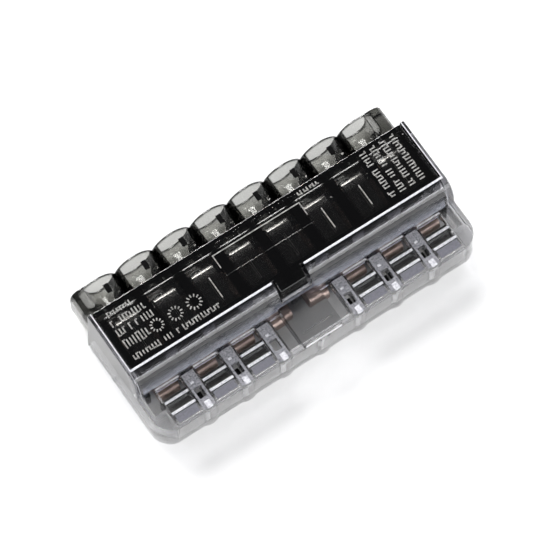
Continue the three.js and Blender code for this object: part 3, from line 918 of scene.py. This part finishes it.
# %% Join the terrace
rim_outer, rim_inner = INNER_HALF + 0.13, INNER_HALF + 0.02
join(cover,
     [pad(x - 0.64, x + 0.64, FRONT + 0.22, -3.98, WEB_RISE) for x in pocket_x]
     + [pad(x - 1.15, x + 1.15, FRONT + 0.42, -6.94, PAD_RISE) for x in window_x],
     [pad(x - 0.28, x + 0.3, FRONT + 0.1, -7.3, BOSS_RISE) for x in pocket_x]
     + [pad(x - 0.3, x + 0.05, -5.22, -4.98, BOSS_RISE) for x in pocket_x],
     [rung(x - FRAME_HALF, x + FRAME_HALF, y) for x in window_x for y in RUNGS],
     [rail(x + side * FRAME_HALF) for x in window_x for side in (-1, 1)]
     + [rail(side * (SLOT_OUTER + RAIL)) for side in (-1, 1)],
     row_of(pocket_x, (-0.4, 0.4), (FRONT + WALL - 0.1, -7.2), (TRAY_FLOOR - 0.1, 3.3), 0.05),
     row_of([0], (-CATCH_HALF, CATCH_HALF), (FRONT + 0.05, LIP_FOOT_Y + 0.35), (3.25, CATCH_TOP), 0.2),
     [bead(side * 1.8, side * rim_outer, lip_top_y - 0.24, lip_top_y - 0.02) for side in (-1, 1)],
     [bead(side * rim_inner, side * rim_outer, lip_top_y - 0.1, cover_high[1] - 0.05) for side in (-1, 1)])
print(f"{len(window_x)} window frames of {len(RUNGS)} rungs, {len(pocket_x)} webs")

# %% [markdown]
# Then everything is opened: windows, the smaller holes in front of them, pockets, a slot on either side of the
# catch block, the notch in the lip, and a groove across the catch.

# %% Open the terrace
slot_inner = CATCH_HALF + 0.04
combine(cover, "DIFFERENCE",
        [hole(x - WINDOW_HALF, x + WINDOW_HALF, -5.29, -3.96) for x in window_x]
        + [hole(x - WINDOW_HALF, x + WINDOW_HALF, -6.5, -5.75) for x in window_x]
        + [hole(x - 0.4, x + 0.4, -6.9, -5.7) for x in pocket_x]
        + [hole(-SLOT_OUTER, -slot_inner, -7.5, -3.96), hole(slot_inner, SLOT_OUTER, -7.5, -3.96)])
combine(cover, "DIFFERENCE", [block((-1.75, -3.6, 4.95), (1.75, -1.7, 8), 0.1),
                              block((-1.7, -7.12, CATCH_TOP - 0.22), (1.7, -6.88, CATCH_TOP + 0.3), 0.06)])
print(f"windows of {2 * WINDOW_HALF} x 1.33 mm")

# %% [markdown]
# The frames, bosses and beads get a painted highlight, white and matt, and the webs and pads are painted greyer
# for what shows through them. Seen end on, the cheeks' rear edges look black, because light that enters a
# polished edge runs along the wall and comes out elsewhere, so they get painted black shade.

# %% Finish the cover
BOSS_OFF, WEB_OFF, LAST_WEB = 1.7, 1.43, 15  # bosses and webs are at least this far from a way's middle
end_cover = finished(cover, "clear_cover", clear_plastic)


def on_painted_highlight(x, y, z):
    """Rungs over the windows, bosses on the webs, and the beads along the top."""
    on_rung = ((z > TERRACE + 0.04) & (z < TERRACE + 0.2) & (y < RUNGS[0] + RUNG + 0.02)
               & (y > RUNGS[2] - RUNG - 0.02) & (off_way(x) < WINDOW_HALF) & (np.abs(x) > SLOT_OUTER))
    on_boss = ((z > TERRACE + WEB_RISE + 0.02) & (z < TERRACE + 0.2) & (off_way(x) > BOSS_OFF)
               & (np.abs(x) < LAST_WEB) & (y < -4.9))
    return on_rung | on_boss | (z > cover_high[2] + 0.005)


def on_web(x, y, z):
    """Between two ways, up to the height of a web."""
    return ((z > TERRACE + 0.01) & (z < TERRACE + WEB_RISE + 0.01) & (off_way(x) > WEB_OFF)
            & (np.abs(x) > SLOT_OUTER + 0.3) & (np.abs(x) < LAST_WEB) & (y < -3.95))


def on_pad(x, y, z):
    """In front of a window, up to the height of a pad."""
    return ((z > TERRACE + 0.01) & (z < TERRACE + PAD_RISE + 0.005) & (off_way(x) < 1.16)
            & (np.abs(x) > SLOT_OUTER) & (y < -6.9))


mark_faces(end_cover, painted_highlight_ridge, on_painted_highlight)
mark_faces(end_cover, web_light_and_shade, on_web)
mark_faces(end_cover, pad_painted_shade, on_pad)
# Painted shade: the cover's rear edges in black.
mark_faces(end_cover, black_painted_shade, lambda x, y, z: (y > cover_high[1] - 0.16) & (z > 0.3))
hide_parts("end_cover")
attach(end_cover, "housing")

# %% [markdown]
# ## The contact bar
# Cut and bent from one copper strip: a plate under all the ways, and behind each test window a tab bent up and
# then over, so that a probe finds a flat to touch. A bent strip is its middle line given a thickness.

# %% Contact bar
STRIP, TAB_HALF, TAB_BEND = 0.4, 1.1, 0.45
PLATE_FRONT, TAB_BACK = -2.7, -3.3


def bend_path(points, radius):
    """An open line with its inner corners softened: the closed outline without its two ends' curves."""
    curve = soften(points, radius).reshape(len(points), ARC, 2)
    return np.concatenate([[points[0]], curve[1:-1].reshape(-1, 2), [points[-1]]])


plate_z = bar_low[2] + STRIP / 2 + 0.01  # a hair above the plate's middle, so that no two faces share a plane
tab_y, flat_z = bar_low[1] + STRIP / 2, bar_high[2] - STRIP / 2
tab_path = bend_path([(PLATE_FRONT + 0.4, plate_z), (tab_y, plate_z), (tab_y, flat_z), (TAB_BACK, flat_z)],
                     TAB_BEND)
bar = raw_object("bar", block((bar_low[0], PLATE_FRONT, bar_low[2]),
                              (bar_high[0], bar_high[1], bar_low[2] + STRIP), 0.06))
join(bar, [ribbon(tab_path, STRIP, x - TAB_HALF, x + TAB_HALF) for x in way_x])
contact_bar = finished(bar, "copper_bar", copper)
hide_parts("contact_bar")
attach(contact_bar, "housing")

# %% [markdown]
# ## The clamp springs
# Each is one strip of stainless steel: a leg held under the panel, a bend, and a leaf that slopes down to the bar
# and bites on the conductor. The leaf is a moving body, and the bend is centred on its joint.

# %% Clamp springs
SPRING, SPRING_HALF = 0.28, 1.18
BEND_R, SLOPE = 0.55, np.radians(38)
LEG_Y, LEAF_LONG = -1.15, 4.58
joint_at = {joint["child"]: np.array(joint["pos_m"]) / MM for joint in frame["joints"]}


def spring_path(y, z):
    """The leg, a bend of radius BEND_R about (y, z), and the leaf, which leaves the bend at its tangent."""
    turn = np.linspace(np.pi / 2, SLOPE - np.pi / 2, 28)
    curve = np.stack([y + BEND_R * np.cos(turn), z + BEND_R * np.sin(turn)], axis=1)
    leg = np.stack([np.linspace(LEG_Y, y, 9)[:-1], np.full(8, z + BEND_R)], axis=1)
    run = np.linspace(0, LEAF_LONG, 12)[1:, None]
    leaf = curve[-1] - run * [np.cos(SLOPE), np.sin(SLOPE)]
    return np.concatenate([leg, curve, leaf])


for number, x in enumerate(way_x, 1):
    _, bend_y, bend_z = joint_at[f"leaf_{number}"]
    strip = ribbon(spring_path(bend_y, bend_z), SPRING, x - SPRING_HALF, x + SPRING_HALF, 0.04)
    spring = finished(raw_object("spring", strip), f"clamp_spring_{number}", spring_steel)
    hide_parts(f"spring_base_{number}", f"clamp_leaf_{number}")
    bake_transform(spring)

# %% [markdown]
# ## Floor, light and camera
# The connector stands on white paper, which is bright but not quite even. Clear plastic shows mostly what is
# behind it, so the floor does as much for its look as the lamps do.

# %% Floor
FLOOR = 0.6  # metres from the middle to each edge
floor_mesh = bpy.data.meshes.new("floor")
corners = [(-FLOOR, -FLOOR, 0), (FLOOR, -FLOOR, 0), (FLOOR, FLOOR, 0), (-FLOOR, FLOOR, 0)]
floor_mesh.from_pydata(corners, [], [(0, 1, 2, 3)])
floor = bpy.data.objects.new("floor", floor_mesh)
bpy.context.scene.collection.objects.link(floor)
paper, tree = new_material("white_paper_floor")
speck = grain(tree, 0.8)
pale = add(tree, "ShaderNodeMapRange", {"Value": speck.outputs["Fac"], "To Min": 0.88, "To Max": 0.9})
paper_surface = add(tree, "ShaderNodeBsdfPrincipled", {"Base Color": pale.outputs[0], "Roughness": 0.8})
add(tree, "ShaderNodeOutputMaterial", {"Surface": paper_surface.outputs[0]})
floor_mesh.materials.append(paper)

print(f"floor: {2 * FLOOR} m square")

# %% [markdown]
# Four soft square lamps, as on a small product table: the main one behind and above, which shines through the
# plastic and glints on the top edges, a low weak one in front, and one on either side. The world is dim, so that
# the sides of the walls go dark and the outline of each moulding can be read.

# %% Lamps and surroundings


def lamp(name, place, aim, size, watts):
    """A square lamp, size metres wide, turned so that it shines from its place towards aim."""
    light = bpy.data.lights.new(name, "AREA")
    light.shape, light.size, light.energy = "SQUARE", size, watts
    made = bpy.data.objects.new(name, light)
    made.location = place
    direction = np.array(aim) - np.array(place)
    made.rotation_euler = mathutils.Vector(direction).to_track_quat("-Z", "Y").to_euler()
    bpy.context.scene.collection.objects.link(made)
    print(f"{name} lamp: {watts} W from {np.linalg.norm(direction):.2f} m")


lamp("back", (0.02, 0.30, 0.19), (0, 0, 0), 0.2, 2.4)
lamp("front", (0.075, -0.34, 0.11), (0, 0, 0), 0.2, 0.5)
lamp("left", (-0.32, -0.14, 0.2), (0, 0, 0), 0.2, 1.2)
lamp("right", (0.32, -0.16, 0.16), (0, 0, 0), 0.16, 0.6)
world = bpy.data.worlds.new("studio")
bpy.context.scene.world = world
world.use_nodes = True
surroundings = world.node_tree.nodes["Background"].inputs
surroundings["Color"].default_value, surroundings["Strength"].default_value = linear("#BFC0C6"), 0.2
bpy.context.scene.view_settings.view_transform = "Standard"

# %% [markdown]
# The camera looks down steeply, from the front and a little to the left. Its lens is set from how wide a strip
# it must see at the distance of the aim, and it is far enough away that the ways stay nearly parallel.

# %% Camera
azimuth, elevation = np.radians(-33.9), np.radians(67.9)
WIDE, DISTANCE = 52.03 * MM, 0.36
aim = np.array([0.435, 0.713, 0.339]) * MM
back = np.array([np.sin(azimuth) * np.cos(elevation), -np.cos(azimuth) * np.cos(elevation), np.sin(elevation)])
right = np.array([np.cos(azimuth), np.sin(azimuth), 0])
turning = np.column_stack([right, np.cross(back, right), back])
camera = bpy.data.cameras.new("camera")
camera.sensor_width, camera.clip_start = 36, 0.01
camera.lens = camera.sensor_width * DISTANCE / WIDE
view = bpy.data.objects.new("camera", camera)
view.matrix_world = mathutils.Matrix.Translation(aim + back * DISTANCE) @ mathutils.Matrix(turning).to_4x4()
print(f"camera: {camera.lens:.0f} mm lens, {DISTANCE} m away")
bpy.context.scene.collection.objects.link(view)
bpy.context.scene.camera = view
